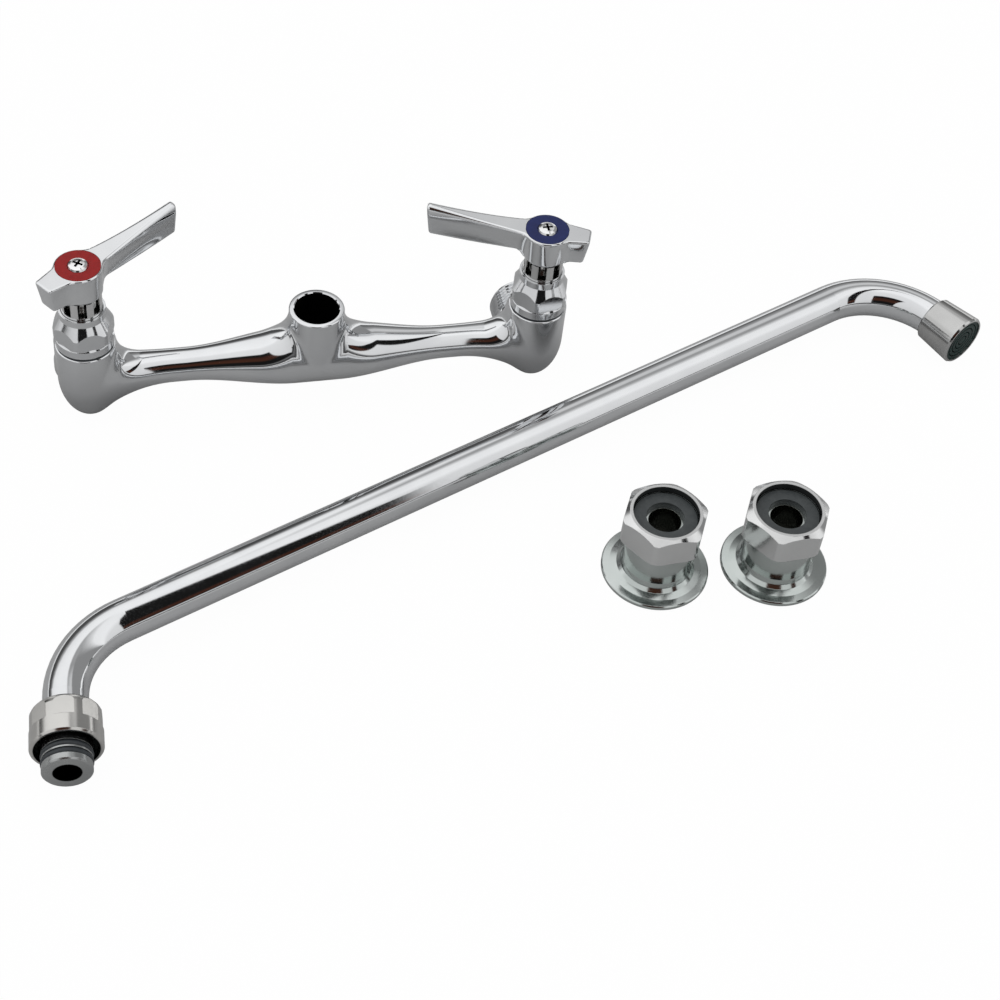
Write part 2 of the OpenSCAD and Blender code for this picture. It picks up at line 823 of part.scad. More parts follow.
module aerator_housing() {
    r = housing_d / 2;
    neck_r = housing_neck_d / 2;
    lip = 0.8;
    seat = -screen_inset - screen_t - washer_t;
    color("silver")
        lay_spout()
            at_outlet()
                difference() {
                    rotate_extrude()
                        polygon([
                            [0, -housing_length], [neck_r - lip, -housing_length],
                            [neck_r, -housing_length + lip], [r, -housing_edge], [r - 0.6, 0], [0, 0]
                        ]);
                    post(tube_d + 2 * fit, -housing_length - eps, -housing_length + thread_start);
                    post(tube_d + 2 * air, -housing_length - eps, -housing_length + thread_start / 2);
                    post(housing_d - 2 * rim_wall, seat, eps);
                    post(2 * bore_r, -housing_length + thread_start - eps, seat + eps);
                }
}

module aerator_screen() {
    r = housing_d / 2 - rim_wall - fit;
    face_z = -screen_inset;
    groove = 0.5;
    color("darkslategray")
        lay_spout()
            at_outlet()
                difference() {
                    post(2 * r, face_z - screen_t, face_z);
                    // concentric slots in the face, with holes through them
                    for (k = [1 : 4])
                        ring(2 * (r * k / 5 + groove), 2 * r * k / 5, face_z - 1, face_z + eps);
                    for (k = [1 : 3], i = [0 : 4 * k - 1])
                        rotate([0, 0, 90 * i / k])
                            translate([r * k / 5 + groove / 2, 0, face_z - screen_t - eps])
                                cylinder(d = 1.3, h = screen_t, $fn = 16);
                }
}

module aerator_washer() {
    outer_d = housing_d - 2 * rim_wall - 2 * fit;
    screen_z = -screen_inset - screen_t;
    color("black")
        lay_spout()
            at_outlet() ring(outer_d, outer_d - 6, screen_z - washer_t, screen_z);
}

// ---- wall coupling, standing on its flange ----

module wall_flange() {
    r = flange_d / 2;
    barrel_r = coupling_barrel_d / 2;
    lip = 0.5;
    color("silver")
        difference() {
            rotate_extrude()
                polygon([
                    [0, 0], [r - lip, 0], [r, lip], [r, flange_t - lip], [r - lip, flange_t],
                    [barrel_r + 5, flange_t + 0.5], [barrel_r + 2, flange_t + 1.4],
                    [barrel_r + 0.6, flange_t + 3], [barrel_r, flange_t + 5.5],
                    [barrel_r, coupling_barrel_h - lip], [barrel_r - lip, coupling_barrel_h],
                    [coupling_neck_d / 2, coupling_barrel_h], [coupling_neck_d / 2, coupling_neck_h],
                    [0, coupling_neck_h]
                ]);
            post(nipple_d, -eps, nipple_depth);
            post(coupling_bore_d, 0, coupling_neck_h + eps);
            ring(coupling_neck_d + 2, wire_groove_d, wire_z - wire_d / 2, wire_z + wire_d / 2);
        }
}

module union_nut() {
    lip = 1.2;
    r = union_corner_d / 2;
    color("silver")
        translate([0, 0, union_z])
            difference() {
                intersection() {
                    rotate([0, 0, union_turn]) hexagon(union_af, 0, union_h);
                    rotate_extrude()
                        polygon([
                            [0, 0], [r - lip, 0], [r, lip * 0.6], [r, union_h - 2.4],
                            [r - 3.2, union_h], [0, union_h]
                        ]);
                }
                // the thread is relieved around the washer
                post(union_bore_d - 0.4, nut_lip_h, union_h);
                post(union_bore_d, union_washer_z + union_washer_t - union_z, union_h + eps);
                post(coupling_neck_d + 2 * air, -eps, union_h);
            }
}

module union_washer() {
    color("black")
        ring(union_washer_d, coupling_bore_d + 2.4, union_washer_z, union_washer_z + union_washer_t);
}

module union_ring() {
    color("gray")
        translate([0, 0, wire_z])
            rotate_extrude(angle = 340)
                translate([wire_groove_d / 2 + wire_d / 2, 0]) circle(d = wire_d - 0.1, $fn = 24);
}

// ---- places ----

module hot_valve() { translate([-half_span, 0, 0]) children(); }
module cold_valve() { translate([half_span, 0, 0]) children(); }
module hot_lever() { hot_valve() rotate([0, 0, hot_heading]) children(); }
module cold_lever() { cold_valve() rotate([0, 0, cold_heading]) children(); }
module hot_coupling() { translate([hot_coupling_x, hot_coupling_y, floor_z]) children(); }
module cold_coupling() { translate([cold_coupling_x, cold_coupling_y, floor_z]) children(); }

valve_body();
hot_valve() rotate([0, 0, bonnet_turn]) bonnet_nut();  // hot_bonnet_nut
cold_valve() rotate([0, 0, bonnet_turn]) bonnet_nut();  // cold_bonnet_nut
hot_valve() bonnet_washer();  // hot_bonnet_washer
cold_valve() bonnet_washer();  // cold_bonnet_washer
hot_valve() rotate([0, 0, 293]) cartridge(57, 246.5);  // hot_cartridge
cold_valve() rotate([0, 0, 276.5]) cartridge(163.5, 292.5);  // cold_cartridge
hot_lever() spindle();  // hot_spindle
cold_lever() spindle();  // cold_spindle
hot_lever() spindle_oring();  // hot_spindle_oring
cold_lever() spindle_oring();  // cold_spindle_oring
hot_lever() spindle_clip();  // hot_spindle_clip
cold_lever() spindle_clip();  // cold_spindle_clip
hot_lever() moving_disc();  // hot_moving_disc
cold_lever() moving_disc();  // cold_moving_disc
hot_valve() fixed_disc();  // hot_fixed_disc
cold_valve() fixed_disc();  // cold_fixed_disc
hot_valve() seat_seal();  // hot_seat_seal
cold_valve() seat_seal();  // cold_seat_seal
hot_lever() handle();  // hot_handle
cold_lever() handle();  // cold_handle
hot_lever() index_ring("crimson");  // hot_index_ring
cold_lever() index_ring("midnightblue");  // cold_index_ring
hot_lever() handle_screw();  // hot_handle_screw
cold_lever() handle_screw();  // cold_handle_screw
spout_tube();
spout_shank();
spout_orings();
spout_thrust_ring();
spout_nut();
aerator_housing();
aerator_screen();
aerator_washer();
hot_coupling() wall_flange();  // hot_wall_flange
cold_coupling() wall_flange();  // cold_wall_flange
hot_coupling() union_nut();  // hot_union_nut
cold_coupling() union_nut();  // cold_union_nut
hot_coupling() union_washer();  // hot_union_washer
cold_coupling() union_washer();  // cold_union_washer
hot_coupling() union_ring();  // hot_union_ring
cold_coupling() union_ring();  // cold_union_ring
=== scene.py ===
# %% [markdown]
# A wall-mount kitchen faucet laid out as a kit: the valve body with its two lever handles, the loose
# swing spout, and two loose wall couplings. The exact solids come from CAD and are loaded as a fixed
# frame, in metres. This lesson gives them a camera, light and finishes, and remakes the castings, whose
# soft blends the facets of a solid cannot carry.

# %% Load the frame
import json
import math

import bmesh
import bpy
import numpy as np
from mathutils import Matrix, Vector


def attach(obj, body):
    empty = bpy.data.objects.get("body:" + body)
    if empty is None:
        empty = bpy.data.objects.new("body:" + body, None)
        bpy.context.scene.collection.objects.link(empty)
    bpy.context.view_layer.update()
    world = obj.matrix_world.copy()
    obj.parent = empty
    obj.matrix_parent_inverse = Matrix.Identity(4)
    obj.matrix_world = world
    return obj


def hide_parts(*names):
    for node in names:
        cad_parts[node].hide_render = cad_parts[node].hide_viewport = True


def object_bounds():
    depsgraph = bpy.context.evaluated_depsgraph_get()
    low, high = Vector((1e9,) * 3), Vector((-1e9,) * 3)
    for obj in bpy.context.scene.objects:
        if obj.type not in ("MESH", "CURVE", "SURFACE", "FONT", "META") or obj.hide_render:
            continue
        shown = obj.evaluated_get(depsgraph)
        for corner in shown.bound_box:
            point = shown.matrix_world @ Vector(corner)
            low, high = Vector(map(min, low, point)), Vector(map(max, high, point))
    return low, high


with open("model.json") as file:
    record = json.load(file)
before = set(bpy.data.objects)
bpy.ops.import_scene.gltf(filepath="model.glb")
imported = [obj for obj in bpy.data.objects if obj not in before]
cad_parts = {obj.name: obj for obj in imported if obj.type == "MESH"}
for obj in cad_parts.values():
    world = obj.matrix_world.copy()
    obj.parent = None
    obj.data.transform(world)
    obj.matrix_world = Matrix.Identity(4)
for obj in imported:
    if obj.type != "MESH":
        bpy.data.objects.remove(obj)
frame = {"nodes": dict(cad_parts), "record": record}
cad_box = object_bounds()
nodes = frame["nodes"]
scene = bpy.context.scene
MM = 0.001
FLOOR_Z = round(cad_box[0][2], 4)
# the two valves stand this many millimetres from the middle
HALF_SPAN = 101.6
print("nodes", len(nodes), "box", [round(x, 4) for corner in cad_box for x in corner])

# %% [markdown]
# A long lens keeps the perspective mild.

# %% Camera
CAMERA_PLACE = (-0.10777, -0.6407, 0.61326)
CAMERA_HEADING, CAMERA_DOWN, CAMERA_ROLL = 72.367, 48.4, 7.4


def camera_axes(heading, down, roll):
    """Right, up and back vectors of a camera that looks along heading and down, then rolls."""
    h, e, r = (math.radians(a) for a in (heading, down, roll))
    ahead = Vector((math.cos(h) * math.cos(e), math.sin(h) * math.cos(e), -math.sin(e)))
    right = Vector((math.sin(h), -math.cos(h), 0.0))
    up = Vector((math.cos(h) * math.sin(e), math.sin(h) * math.sin(e), math.cos(e)))
    rolled_right = math.cos(r) * right + math.sin(r) * up
    rolled_up = -math.sin(r) * right + math.cos(r) * up
    return rolled_right, rolled_up, -ahead


cam_data = bpy.data.cameras.new("studio_camera")
cam_data.sensor_width = 36.0
cam_data.sensor_fit = "HORIZONTAL"
cam_data.lens = 72.0
cam_data.clip_start = 0.05
camera = bpy.data.objects.new("studio_camera", cam_data)
scene.collection.objects.link(camera)
right, up, back = camera_axes(CAMERA_HEADING, CAMERA_DOWN, CAMERA_ROLL)
place = Matrix((right, up, back)).transposed().to_4x4()
place.translation = Vector(CAMERA_PLACE)
camera.matrix_world = place
scene.camera = camera
print("camera", [round(v, 4) for v in camera.matrix_world.translation])

# %% [markdown]
# Materials and the world are node trees. A small class keeps them readable: it adds nodes and joins
# sockets by name, does arithmetic, sets up a colour ramp and mixes two colours.

# %% Node helpers


class Graph:
    """A thin helper that adds nodes to a tree and joins sockets by name."""

    def __init__(self, tree):
        self.tree = tree
        tree.nodes.clear()

    def add(self, kind, **settings):
        node = self.tree.nodes.new(kind)
        for key, value in settings.items():
            name = key.replace("_", " ")
            if name in node.inputs:
                self.feed(node.inputs[name], value)
            else:
                setattr(node, key, value)
        return node

    def feed(self, socket, value):
        """A socket takes a constant, or a (node, output) pair."""
        if isinstance(value, tuple) and isinstance(value[0], bpy.types.Node):
            self.tree.links.new(value[0].outputs[value[1]], socket)
        else:
            socket.default_value = value

    def calc(self, operation, *values, clamp=False):
        """One step of arithmetic."""
        node = self.tree.nodes.new("ShaderNodeMath")
        node.operation = operation
        node.use_clamp = clamp
        for socket, value in zip(node.inputs, values):
            self.feed(socket, value)
        return (node, "Value")

    def ramp(self, factor, stops):
        """Colours along a factor; a stop is a place and a grey or a colour."""
        node = self.tree.nodes.new("ShaderNodeValToRGB")
        band = node.color_ramp
        while len(band.elements) < len(stops):
            band.elements.new(0.5)
        for element, (at, value) in zip(band.elements, stops):
            element.position = at
            element.color = (*(value if isinstance(value, tuple) else (value,) * 3), 1.0)
        self.feed(node.inputs["Fac"], factor)
        return (node, "Color")

    def mix(self, factor, a, b):
        """Blend of two colours."""
        node = self.tree.nodes.new("ShaderNodeMix")
        node.data_type = "RGBA"
        self.feed(node.inputs[0], factor)
        self.feed(node.inputs[6], a)
        self.feed(node.inputs[7], b)
        return (node, 2)


print("helpers ready")

# %% [markdown]
# Its left and right halves differ a little. The strength is set so that a plain colour renders about
# as it is written.

# %% Studio surroundings
STUDIO_STRENGTH = 1.2
scene.view_settings.view_transform = "Standard"
world = bpy.data.worlds.new("studio")
scene.world = world
world.use_nodes = True
g = Graph(world.node_tree)
aim = g.add("ShaderNodeTexCoord")
split = g.add("ShaderNodeSeparateXYZ", Vector=(aim, "Generated"))


def along(way):
    """How far a direction of the surroundings points along a given way."""
    node = g.add("ShaderNodeVectorMath", operation="DOT_PRODUCT")
    g.feed(node.inputs[0], (aim, "Generated"))
    node.inputs[1].default_value = way
    return (node, "Value")


heading = math.radians(CAMERA_HEADING)
behind = along((math.cos(heading), math.sin(heading), 0.0))
beside = along((math.sin(heading), -math.cos(heading), 0.0))
# height angle as seen from the side: 0 in front at the horizon, 0.5 overhead, 1 behind at the horizon
tilt = g.calc("ARCTAN2", (split, "Z"), g.calc("MULTIPLY", behind, -1.0))
arc = g.calc("DIVIDE", tilt, math.pi)
left_panels = g.ramp(arc, [(0.0, 0.04), (0.03, 0.1), (0.06, 0.72), (0.2, 0.8), (0.42, 0.88), (0.48, 1.04),
                           (0.7, 0.98), (0.76, 0.88), (0.79, 0.42), (0.84, 0.09), (0.95, 0.05),
                           (0.975, 0.85)])
right_panels = g.ramp(arc, [(0.0, 0.04), (0.03, 0.1), (0.07, 0.76), (0.42, 0.82), (0.5, 0.98), (0.6, 0.94),
                            (0.66, 0.4), (0.7, 0.34), (0.73, 0.64), (0.785, 0.64), (0.82, 0.36), (0.87, 0.22),
                            (0.935, 0.08), (0.955, 0.95)])
# the border between the two leans left towards the horizon behind
border = g.calc("MULTIPLY_ADD", beside, 0.5, g.calc("MULTIPLY_ADD", arc, 0.5, 0.15))
lean = g.ramp(border, [(0.49, 0.0), (0.54, 1.0)])
panels = g.mix(lean, left_panels, right_panels)
print("two sides of the studio")

# %% [markdown]
# Long round pieces stretch them into the black streaks that make chrome look like chrome.

# %% Dark screens
BLACK, WALL_GREY = 0.004, (0.27, 0.27, 0.27, 1.0)
# the way along the spout's tube, and what each screen and the wall take up from side to side
TUBE_WAY = (0.923, 0.384, 0.0)
RIGHT_SIDES, FRONT_SIDES, WALL_SIDES = (0.2, 0.41), (-0.42, 0.16), (0.28, 1.1)
# their height angles; the top of the right screen slopes down to the right
RIGHT_LOW, FRONT_HEIGHTS, WALL_HEIGHTS = 0.08, (0.03, 0.31), (0.66, 0.95)


def band(value, low, high, soft):
    """One inside a range, zero outside, with soft ends."""
    rise = g.calc("DIVIDE", g.calc("SUBTRACT", value, low), soft, clamp=True)
    fall = g.calc("DIVIDE", g.calc("SUBTRACT", high, value), soft, clamp=True)
    return g.calc("MULTIPLY", rise, fall)


tube_side = along(TUBE_WAY)
top_edge = g.calc("MULTIPLY_ADD", tube_side, -1.1, 0.85)
right_screen = g.calc("MULTIPLY", band(tube_side, *RIGHT_SIDES, 0.02), band(arc, RIGHT_LOW, top_edge, 0.02))
front_screen = g.calc("MULTIPLY", band((split, "X"), *FRONT_SIDES, 0.015), band(arc, *FRONT_HEIGHTS, 0.02))
screens = g.calc("MAXIMUM", right_screen, front_screen)
brown = g.ramp(arc, [(0.12, BLACK), (0.16, (0.056, 0.018, 0.009)), (0.21, (0.047, 0.015, 0.008)),
                     (0.26, BLACK)])
side_wall = g.calc("MULTIPLY", band(beside, *WALL_SIDES, 0.06), band(arc, *WALL_HEIGHTS, 0.03))
surround = g.mix(screens, g.mix(side_wall, panels, WALL_GREY), brown)
print("screens and side wall")

# %% [markdown]
# The camera sees a plain white backdrop in place of the studio, and mirrors and glass see a trace of
# it.

# %% Studio light


def white_share(graph, path, to_camera, in_mirrors):
    """The share of plain white that a camera ray meets, and the one that mirrors and glass meet."""
    shiny = graph.calc("MAXIMUM", (path, "Is Glossy Ray"), (path, "Is Transmission Ray"))
    trace = graph.calc("MULTIPLY", shiny, in_mirrors)
    return graph.calc("MULTIPLY_ADD", (path, "Is Camera Ray"), to_camera, trace)


studio_light = g.add("ShaderNodeBackground", Color=surround, Strength=STUDIO_STRENGTH)
white = g.add("ShaderNodeBackground", Color=(1, 1, 1, 1), Strength=1.0)
seen = g.add("ShaderNodeLightPath")
mix = g.add("ShaderNodeMixShader", Fac=white_share(g, seen, 1.0, 0.006))
g.feed(mix.inputs[1], (studio_light, "Background"))
g.feed(mix.inputs[2], (white, "Background"))
g.add("ShaderNodeOutputWorld", Surface=(mix, "Shader"))
print("world ready")

# %% [markdown]
# The floor is a wide sheet. To the camera it is nearly white paper with a trace of shadow. Chrome sees it as
# a soft grey, a painted shade that brightens with the distance, which draws the dark underside of every round
# piece, and it sees a painted contact shadow where each of the two rounded chins of the valve body touches
# it.

# %% Floor sheet
FLOOR_HALF_SIZE, FLOOR_GAP = 6.0, 0.0003
bm = bmesh.new()
bmesh.ops.create_grid(bm, x_segments=1, y_segments=1, size=FLOOR_HALF_SIZE)
bmesh.ops.translate(bm, verts=bm.verts, vec=(0.0, 0.0, FLOOR_Z - FLOOR_GAP))
floor_mesh = bpy.data.meshes.new("floor")
bm.to_mesh(floor_mesh)
bm.free()
floor = bpy.data.objects.new("floor", floor_mesh)
scene.collection.objects.link(floor)
print("floor at", FLOOR_Z)

# %% Floor finish
# CHIN_SHADE is the colour of the painted contact shadows under the chins
PAPER_WHITE, CHIN_SHADE = (0.97, 0.97, 0.97, 1), (0.12, 0.12, 0.12, 1)
# the middle of each chin's painted contact shadow, in metres from the line between the valves
CHIN_SHADE_Y = -0.008
floor_mat = bpy.data.materials.new("pale_floor")
floor_mat.use_nodes = True
g = Graph(floor_mat.node_tree)
seen = g.add("ShaderNodeLightPath")
spot = g.add("ShaderNodeTexCoord")
span = g.add("ShaderNodeVectorMath", operation="LENGTH", Vector=(spot, "Object"))
clouds = g.add("ShaderNodeTexNoise", Vector=(spot, "Object"), Scale=13.0, Detail=2.0)
spread = g.calc("ADD", (span, "Value"), g.calc("MULTIPLY_ADD", (clouds, "Fac"), 0.5, -0.25))
# painted shade: the grey that mirrors see is darkest near the middle of the kit and brightens outwards
grey = g.ramp(spread, [(0.0, 0.44), (0.3, 0.52), (0.6, 0.86), (1.0, 1.0)])
# a painted contact shadow darkens the floor around each chin
for x in (-HALF_SPAN * MM, HALF_SPAN * MM):
    gap = g.add("ShaderNodeVectorMath", operation="DISTANCE")
    g.feed(gap.inputs[0], (spot, "Object"))
    gap.inputs[1].default_value = (x, CHIN_SHADE_Y, FLOOR_Z)
    grey = g.mix(g.ramp((gap, "Value"), [(0.014, 0.55), (0.045, 0.0)]), grey, CHIN_SHADE)
tone = g.mix((seen, "Is Camera Ray"), grey, PAPER_WHITE)
paper = g.add("ShaderNodeBsdfDiffuse", Color=tone)
glow = g.add("ShaderNodeEmission", Color=(1, 1, 1, 1), Strength=1.0)
mix = g.add("ShaderNodeMixShader", Fac=white_share(g, seen, 0.975, 0.04))
g.feed(mix.inputs[1], (paper, "BSDF"))
g.feed(mix.inputs[2], (glow, "Emission"))
g.add("ShaderNodeOutputMaterial", Surface=(mix, "Shader"))
floor.data.materials.append(floor_mat)
print("floor finish", floor_mat.name)

# %% [markdown]
# The valve body and the handles are castings: every wall flows into the next. A clean way to such a
# skin is a distance field, a function that says how far a point lies outside the shape. Fields blend
# smoothly where two walls meet. A rough solid of plain primitives is remeshed to an even net, and its
# points are then drawn onto the field's zero surface. All lengths in the fields are millimetres.

# %% Fields


def unit(v):
    return v / np.maximum(np.linalg.norm(v, axis=1), 1e-9)[:, None]


def columns(*parts):
    return np.stack(np.broadcast_arrays(*parts), axis=1).astype(float)


def blend(a, b, reach):
    """Union of two fields, each a distance and a direction.

    The fillet between them fades where their walls run side by side.
    """
    (da, na), (db, nb) = a, b
    k = reach * (1.0 - np.clip((na * nb).sum(axis=1), 0.0, 1.0)) + 1e-6
    share = np.clip(0.5 + 0.5 * (db - da) / k, 0.0, 1.0)
    return db + (da - db) * share - k * share * (1.0 - share), unit(nb + (na - nb) * share[:, None])


def trim(a, b, reach):
    """What two fields have in common, with a rounded edge where they cross."""
    (da, na), (db, nb) = a, b
    d, n = blend((-da, -na), (-db, -nb), reach)
    return -d, -n


def ease(t):
    t = np.clip(t, 0.0, 1.0)
    return t * t * (3.0 - 2.0 * t)


def lerp(a, b, t):
    return a + (b - a) * t


print("fields ready")

# %% Draw a net onto a field
# edges that turn more than this stay sharp
CREASE = math.radians(35.0)


def slope(field, p, probe=0.01):
    g = np.empty_like(p)
    for axis in range(3):
        off = np.zeros(3)
        off[axis] = probe
        g[:, axis] = (field(p + off)[0] - field(p - off)[0]) / (2.0 * probe)
    return g


def settle(field, p, rounds=9, longest=0.5):
    for _ in range(rounds):
        g = slope(field, p)
        step = field(p)[0][:, None] * g / np.maximum((g * g).sum(axis=1), 0.1)[:, None]
        size = np.maximum(np.linalg.norm(step, axis=1), 1e-9)[:, None]
        p = p - step * np.minimum(1.0, longest / size)
    return p


def points_of(mesh):
    co = np.empty(len(mesh.vertices) * 3)
    mesh.vertices.foreach_get("co", co)
    return co.reshape(-1, 3) / MM


def put_points(mesh, p):
    mesh.vertices.foreach_set("co", (p * MM).ravel())
    mesh.update()


def even_net(name, bm, spacing):
    """Remesh overlapping closed solids to one even skin."""
    rough = bpy.data.meshes.new(name)
    bm.to_mesh(rough)
    bm.free()
    obj = bpy.data.objects.new(name, rough)
    scene.collection.objects.link(obj)
    grid = obj.modifiers.new("grid", "REMESH")
    grid.mode = "VOXEL"
    grid.voxel_size = spacing * MM
    grid.adaptivity = 0.0
    depsgraph = bpy.context.evaluated_depsgraph_get()
    net = bpy.data.meshes.new_from_object(obj.evaluated_get(depsgraph))
    bpy.data.objects.remove(obj)
    bpy.data.meshes.remove(rough)
    net.name = name
    return net


def polish(mesh, field, tolerance=0.03):
    """Shade smooth, keep creases, and give the skin the field's own normals."""
    mesh.shade_smooth()
    mesh.set_sharp_from_angle(angle=CREASE)
    p = points_of(mesh)
    on_skin = np.abs(field(p)[0]) < tolerance
    normals = unit(slope(field, p))
    wanted = np.zeros((len(mesh.loops), 3))
    for face in mesh.polygons:
        if all(on_skin[v] for v in face.vertices):
            for loop in face.loop_indices:
                wanted[loop] = normals[mesh.loops[loop].vertex_index]
    mesh.normals_split_custom_set([tuple(n) for n in wanted])
    print(mesh.name, "faces", len(mesh.polygons), "on the skin", int(on_skin.sum()), "of", len(p))


print("net helpers ready")

# %% [markdown]
# The body's field: two arms that swell to the middle and flare towards the valves, a barrel with a
# rounded chin at each end, and the spout socket standing on the middle.

# %% Body field
ARM_Z, BARREL_R = -27.5, 13.25
RIM_Z, CHIN_Z, CHIN_H = -8.3, -28.0, 22.2
BOSS_R, SOCKET_R = 12.4, 10.0
# an arm's end, inside the barrel, and where it starts to flare towards it
ARM_END, FLARE_FROM = 98.0, 98.0 * 0.653
# its radius at the waist and at the middle, and the stretch between the two
WAIST_R, MIDDLE_R, SWELL_FROM, SWELL_L = 7.6, 13.0, 10.0, 48.0
# its reach above and below its axis at the barrel, and the steep stretch of its top there
END_ABOVE, END_BELOW, STEEP_AHEAD, STEEP_L = 18.7, 21.8, 11.0, 11.4
# the rise of its top towards the spout socket
SADDLE_H, SADDLE_L = 5.2, 14.0
BARREL_FILLET, BOSS_FILLET = 5.0, 8.0


def arm_sizes(ax):
    """Half width, height above and depth below the arm's axis, at a distance from the middle."""
    flare = np.clip((ax - FLARE_FROM) / (ARM_END - FLARE_FROM), 0.0, 1.0) ** 2.1
    r = lerp(WAIST_R, MIDDLE_R, 1.0 - ease((ax - SWELL_FROM) / SWELL_L))
    s = np.clip((ax - HALF_SPAN + BARREL_R + STEEP_AHEAD) / STEEP_L, 0.0, 1.0)
    wall = 1.0 - np.sqrt(1.0 - s * s)
    saddle = SADDLE_H * np.maximum(0.0, 1.0 - np.maximum(0.0, ax - BOSS_R) / SADDLE_L) ** 2
    return lerp(r, BARREL_R - 0.6, flare), lerp(r + saddle, END_ABOVE, wall), lerp(r, END_BELOW, flare)


def oval(y, dz, ry, rz):
    """Distance from an ellipse, to first order, and its direction across the axis."""
    rho = np.sqrt((y / ry) ** 2 + (dz / rz) ** 2)
    gy, gz = y / ry**2, dz / rz**2
    size = np.maximum(np.hypot(gy, gz), 1e-6)
    return (rho - 1.0) * np.maximum(rho, 1e-6) / size, gy / size, gz / size


def body_field(p):
    x, y, z = p.T
    ax, side = np.abs(x), np.where(x < 0, -1.0, 1.0)
    width, above, below = arm_sizes(np.minimum(ax, ARM_END))
    d, ny, nz = oval(y, z - ARM_Z, width, np.where(z > ARM_Z, above, below))
    arm = (np.maximum(d, ax - ARM_END), columns(0.0, ny, nz))
    bx = x - side * HALF_SPAN
    reach = np.hypot(bx, y)
    d, nr, nz = oval(reach, np.minimum(z - CHIN_Z, 0.0), BARREL_R, CHIN_H)
    reach = np.maximum(reach, 1e-6)
    barrel = (d, unit(columns(nr * bx / reach, nr * y / reach, nz)))
    reach = np.maximum(np.hypot(x, y), 1e-6)
    # the boss's radius grows by 0.4 mm from 9 to 17 mm below its top
    wall = BOSS_R + 0.4 * ease((-9.0 - z) / 8.0)
    boss = (np.maximum(reach - wall, ARM_Z - z), columns(x / reach, y / reach, 0.0))
    return blend(blend(arm, barrel, BARREL_FILLET), boss, BOSS_FILLET)


print("arms from the middle to", ARM_END, "mm")

# %% Body seed
# millimetres between the slices of the arms, and those that the posts have to spare for machining
SLICE, SPARE = 3.1, 2.0


def post(bm, radius, low, high, x=0.0, segments=64):
    """An upright round bar between two heights."""
    made = bmesh.ops.create_cone(bm, cap_ends=True, segments=segments, radius1=radius * MM,
                                 radius2=radius * MM, depth=(high - low) * MM)["verts"]
    bmesh.ops.translate(bm, verts=made, vec=Vector((x, 0.0, (low + high) / 2)) * MM)
    return made


def arm_bar(bm):
    """A bar along the body, sliced across and swelled to the arms' sections."""
    made = bmesh.ops.create_cone(bm, cap_ends=True, segments=48, radius1=1.0, radius2=1.0,
                                 depth=2 * ARM_END * MM)["verts"]
    bmesh.ops.rotate(bm, verts=made, cent=(0, 0, 0), matrix=Matrix.Rotation(math.pi / 2, 3, "Y"))
    for k in range(-30, 31):
        geom = bm.verts[:] + bm.edges[:] + bm.faces[:]
        bmesh.ops.bisect_plane(bm, geom=geom, plane_co=(k * SLICE * MM, 0, 0), plane_no=(1, 0, 0))
    for v in bm.verts:
        width, above, below = (float(s) for s in arm_sizes(np.array(min(abs(v.co.x) / MM, ARM_END))))
        v.co.y *= width * MM
        v.co.z = ARM_Z * MM + v.co.z * (above if v.co.z > 0 else below) * MM


bm = bmesh.new()
arm_bar(bm)
post(bm, BOSS_R, ARM_Z, SPARE)
for x in (-HALF_SPAN, HALF_SPAN):
    post(bm, BARREL_R, CHIN_Z, RIM_Z + SPARE, x)
    chin = bmesh.ops.create_uvsphere(bm, u_segments=48, v_segments=24, radius=BARREL_R * MM)["verts"]
    bmesh.ops.scale(bm, verts=chin, vec=(1.0, 1.0, CHIN_H / BARREL_R))
    bmesh.ops.translate(bm, verts=chin, vec=Vector((x, 0.0, CHIN_Z)) * MM)
body_mesh = even_net("cast_body", bm, spacing=0.8)
put_points(body_mesh, settle(body_field, points_of(body_mesh)))
print("body net", len(body_mesh.polygons))

# %% [markdown]
# The mouths are machined after casting. Each is cut flat with a bisecting plane, and its open edge is
# carried over a small lip and down into the bore by extruding the loop of edges again and again.

# %% Machined mouths
SOCKET_LIP, BARREL_LIP, CUT_REACH = 0.7, 0.6, 16.0
# each step into a bore is a change of radius and a change of height
SOCKET_STEPS = [(-1.3, 0.0), (-0.4, -0.4), (0.0, -9.6), (0.0, -10.0), (-2.0, 0.0), (0.0, -9.5)]
BARREL_STEPS = [(-1.2, 0.0), (0.0, -8.5), (-1.9, 0.0), (0.0, -14.0)]


def cut_flat(bm, x, z, radius):
    """Take off what stands above a height around one axis; returns the open edge."""
    near = [f for f in bm.faces if (f.calc_center_median().xy - Vector((x, 0.0)) * MM).length < radius * MM
            and f.calc_center_median().z > (z - 4.0) * MM]
    geom = list({v for f in near for v in f.verts} | {e for f in near for e in f.edges} | set(near))
    done = bmesh.ops.bisect_plane(bm, geom=geom, plane_co=(0, 0, z * MM), plane_no=(0, 0, 1),
                                  clear_outer=True)
    return [e for e in done["geom_cut"] if isinstance(e, bmesh.types.BMEdge)]


def carry(bm, edges, x, steps):
    """Extrude an open round edge through steps of (change of radius, change of height), then close it."""
    centre = Vector((x, 0.0)) * MM
    for dr, dz in steps:
        made = bmesh.ops.extrude_edge_only(bm, edges=edges)["geom"]
        verts = {g for g in made if isinstance(g, bmesh.types.BMVert)}
        edges = [g for g in made if isinstance(g, bmesh.types.BMEdge) and set(g.verts) <= verts]
        for v in verts:
            out = (v.co.xy - centre).normalized() * dr * MM
            v.co += Vector((out.x, out.y, dz * MM))
    bmesh.ops.contextual_create(bm, geom=edges)


def lip_steps(size, count=3):
    """A quarter round that turns an upright wall into a flat rim."""
    turns = [math.radians(90.0 * k / count) for k in range(count + 1)]
    return [((math.cos(b) - math.cos(a)) * size, (math.sin(b) - math.sin(a)) * size)
            for a, b in zip(turns, turns[1:])]


